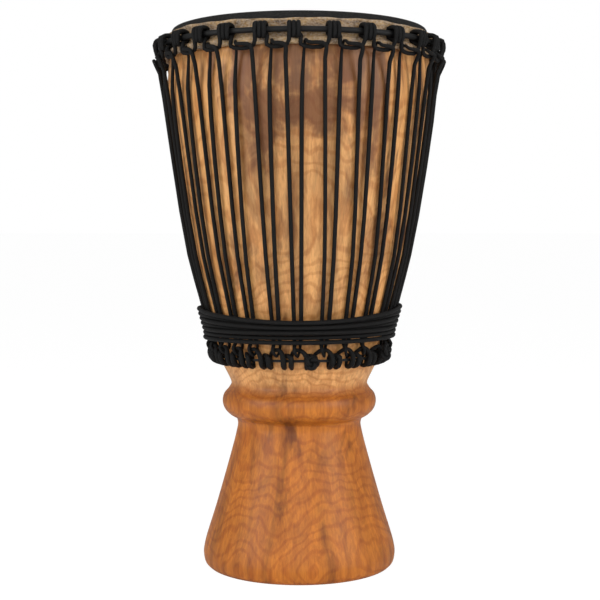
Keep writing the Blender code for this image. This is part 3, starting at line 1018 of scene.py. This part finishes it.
class BOUGARABOU_OT_rings(bpy.types.Operator):
    """Bend the crown ring, and finish the two hidden rings"""

    bl_idname = "bougarabou.rings"
    bl_label = "Make rings"

    def execute(self, context):
        deselect_all()
        bpy.ops.mesh.primitive_torus_add(
            major_radius=CROWN_RING_RADIUS,
            minor_radius=CROWN_RING_WIRE,
            major_segments=CROWN_RING_STEPS,
            minor_segments=CROWN_WIRE_SIDES,
            location=(0.0, 0.0, CROWN_RING_HEIGHT),
        )
        bpy.ops.object.transform_apply(location=True, rotation=True, scale=True)
        ring = context.active_object
        ring.name = "crown_wire"
        ring.data.shade_smooth()
        ring.data.materials.append(shared_material("crown_steel"))
        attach(ring, "root")
        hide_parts("crown_ring")
        for node, finish in (("flesh_ring", "bare_wire"), ("bottom_ring", "bottom_steel")):
            hidden_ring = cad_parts[node]
            hidden_ring.material_slots[0].material = shared_material(finish)
        return {"FINISHED"}


class BOUGARABOU_OT_ropes(bpy.types.Operator):
    """Hitch, lace and wind the ropes, and tie their knots"""

    bl_idname = "bougarabou.ropes"
    bl_label = "Make ropes"

    def execute(self, context):
        cord = shared_material("cord_braid")
        tail_angle = foot_angle(TAIL_KNOT_LOOP)
        tail_route = knot_route(tail_angle, TAIL_KNOT_RADIUS, TAIL_KNOT_HEIGHT, 1.0)
        loop_route = knot_route(hitch_angle(0), LOOP_KNOT_RADIUS, LOOP_KNOT_HEIGHT, LOOP_KNOT_SCALE)
        for name, node, route, closed, fullness in (
            ("crown_hitches", "crown_loop_rope", crown_loop_route(), True, CROWN_FULLNESS),
            ("foot_hitches", "bottom_loop_rope", bottom_loop_route(), True, FOOT_FULLNESS),
            ("lacing", "lacing_rope", lacing_route(), False, LACING_FULLNESS),
            ("tail_wraps", "tail_winding", winding_route(), False, WINDING_FULLNESS),
            ("tail_stopper", "tail_end_knot", tail_route, True, KNOT_FULLNESS),
            ("loop_stopper", "loop_rope_knot", loop_route, True, KNOT_FULLNESS),
        ):
            mesh = rope_mesh(name, route, closed, fullness)
            place_piece(name, mesh, [cord], [node])
        return {"FINISHED"}


def add_softbox(name, place, aim_height, size, power):
    """A flat studio lamp, aimed at a height on the drum's axis."""
    data = bpy.data.lights.new(name, "AREA")
    data.shape = "RECTANGLE"
    data.size, data.size_y = size
    data.energy = power
    lamp = bpy.data.objects.new(name, data)
    lamp.location = place
    aim = Vector((0.0, 0.0, aim_height)) - Vector(place)
    lamp.rotation_euler = aim.to_track_quat("-Z", "Y").to_euler()
    bpy.context.scene.collection.objects.link(lamp)


def make_floor():
    """A wide floor that keeps the drum's shadow and is near white to the camera."""
    bpy.ops.mesh.primitive_plane_add(size=FLOOR_SIZE, location=(0.0, 0.0, 0.0))
    floor = bpy.context.active_object
    floor.name = "floor"
    material = bpy.data.materials.new("floor")
    material.use_nodes = True
    tree = material.node_tree
    shader = tree.nodes["Principled BSDF"]
    set_inputs(shader, Base_Color=FLOOR_COLOR, Roughness=FLOOR_ROUGHNESS)
    glow = set_inputs(add_node(tree, "ShaderNodeEmission"), Color=WHITE, Strength=FLOOR_GLOW)
    ray = add_node(tree, "ShaderNodeLightPath").outputs
    seen = value_math(tree, "MULTIPLY", ray["Is Camera Ray"], FLOOR_GLOW_SHARE)
    join_by_ray(tree, seen, shader, glow, "Material Output")
    floor.data.materials.append(material)


def make_world(scene):
    """A world that lights the drum plainly and is white to the camera and through glass."""
    world = bpy.data.worlds.new("studio")
    scene.world = world
    world.use_nodes = True
    tree = world.node_tree
    backdrop = set_inputs(tree.nodes["Background"], Color=WHITE, Strength=WORLD_LIGHT)
    white = set_inputs(add_node(tree, "ShaderNodeBackground"), Color=WHITE, Strength=1.0)
    ray = add_node(tree, "ShaderNodeLightPath").outputs
    seen = value_math(tree, "MAXIMUM", ray["Is Camera Ray"], ray["Is Transmission Ray"])
    join_by_ray(tree, seen, backdrop, white, "World Output")


def place_camera(scene):
    """Look at the drum as the photo does."""
    camera_data = bpy.data.cameras.new("camera")
    camera_data.sensor_width = CAMERA_SENSOR
    camera_data.lens = CAMERA_LENS
    camera = bpy.data.objects.new("camera", camera_data)
    camera.location = CAMERA_PLACE
    camera.rotation_euler = (math.radians(90.0 - CAMERA_PITCH), 0.0, 0.0)
    scene.collection.objects.link(camera)
    scene.camera = camera


class BOUGARABOU_OT_stage(bpy.types.Operator):
    """Set up the floor, lamps and camera"""

    bl_idname = "bougarabou.stage"
    bl_label = "Make stage"

    def execute(self, context):
        scene = context.scene
        deselect_all()
        make_floor()
        make_world(scene)
        for softbox in SOFTBOXES:
            add_softbox(*softbox)
        place_camera(scene)
        scene.view_settings.view_transform = "Standard"
        return {"FINISHED"}


class BOUGARABOU_PT_panel(bpy.types.Panel):
    """Lists the drum's pieces and settings"""

    bl_idname = "BOUGARABOU_PT_panel"
    bl_label = "Bougarabou"
    bl_space_type = "VIEW_3D"
    bl_region_type = "UI"
    bl_category = "Bougarabou"

    def draw(self, context):
        settings = context.scene.bougarabou
        for name in BougarabouSettings.__annotations__:
            self.layout.prop(settings, name)
        for operator in OPERATORS:
            self.layout.operator(operator.bl_idname)


OPERATORS = (
    BOUGARABOU_OT_finishes,
    BOUGARABOU_OT_shell,
    BOUGARABOU_OT_skin,
    BOUGARABOU_OT_rings,
    BOUGARABOU_OT_ropes,
    BOUGARABOU_OT_stage,
)


def register():
    """Register the settings, the operators and the panel."""
    bpy.utils.register_class(BougarabouSettings)
    for operator in OPERATORS:
        bpy.utils.register_class(operator)
    bpy.utils.register_class(BOUGARABOU_PT_panel)
    bpy.types.Scene.bougarabou = bpy.props.PointerProperty(type=BougarabouSettings)


def unregister():
    """Remove what register added."""
    del bpy.types.Scene.bougarabou
    bpy.utils.unregister_class(BOUGARABOU_PT_panel)
    for operator in reversed(OPERATORS):
        bpy.utils.unregister_class(operator)
    bpy.utils.unregister_class(BougarabouSettings)


def main():
    """Make every piece in order."""
    register()
    bpy.ops.bougarabou.finishes()
    bpy.ops.bougarabou.shell()
    bpy.ops.bougarabou.skin()
    bpy.ops.bougarabou.rings()
    bpy.ops.bougarabou.ropes()
    bpy.ops.bougarabou.stage()


if __name__ == "__main__":
    main()
